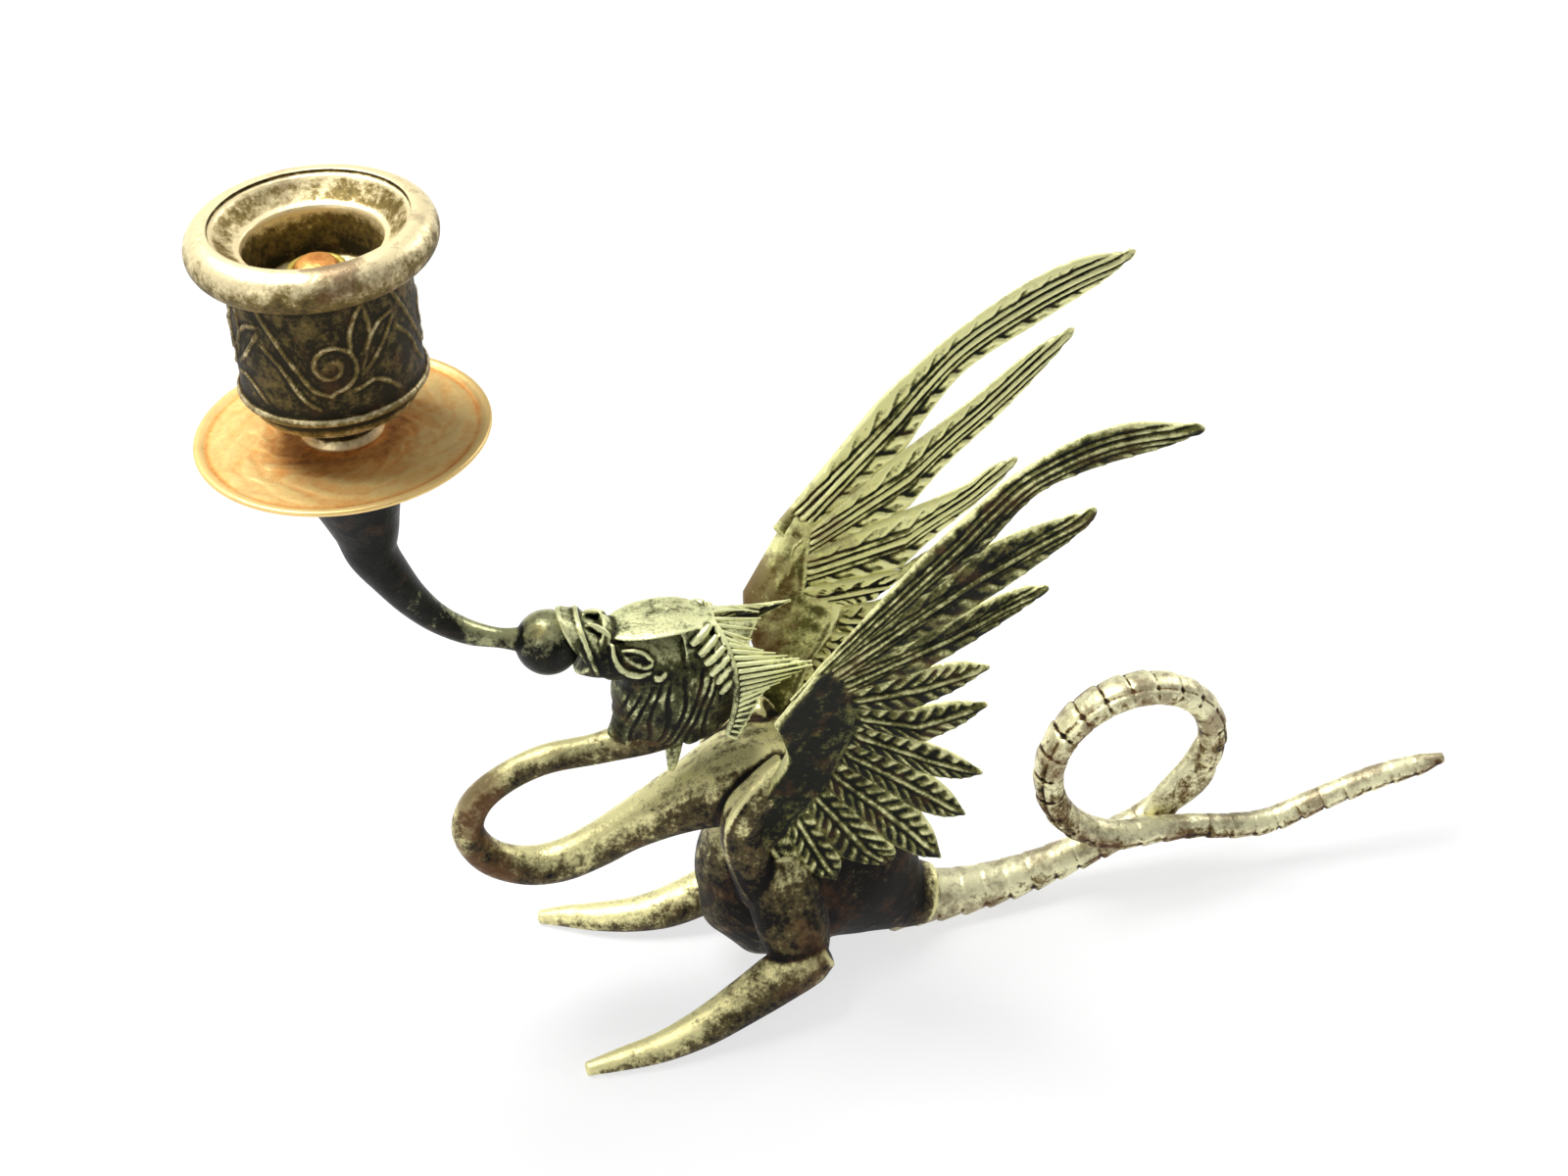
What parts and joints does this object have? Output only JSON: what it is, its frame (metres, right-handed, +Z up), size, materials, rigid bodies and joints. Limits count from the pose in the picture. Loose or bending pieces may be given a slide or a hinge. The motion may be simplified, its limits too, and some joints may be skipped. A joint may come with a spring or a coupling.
{
  "type": "dragon candlestick",
  "caption": "Patinated bronze dragon standing on two feet and its looped tail, with raised feathered wings and a candle cup on an arm held in its jaws.",
  "frame": {"origin": "on the floor plane under the belly, in the flat under the root of the tail", "axes": "+Z up, +X from the head towards the tail, +Y the dragon's right side"},
  "size_m": [0.2137, 0.0519, 0.1695],
  "materials": {
    "bronze_body": "patinated cast bronze, worn pale on the raised parts",
    "bronze_wings": "patinated cast bronze, red-brown wear on the leading edges",
    "dark_bronze_arm": "dark patinated bronze",
    "copper_pan": "orange copper, lightly brushed",
    "brass_cup": "aged brass with a brushed rim",
    "olive_nut": "aged olive brass",
    "copper_stud": "copper"
  },
  "bodies": {
    "root": {"dragon_body": "bronze_body", "left_wing": "bronze_wings", "right_wing": "bronze_wings", "candle_arm": "dark_bronze_arm", "drip_pan": "copper_pan", "candle_cup": "brass_cup", "cup_nut": "olive_nut", "cup_stud": "copper_stud"}
  },
  "joints": []
}
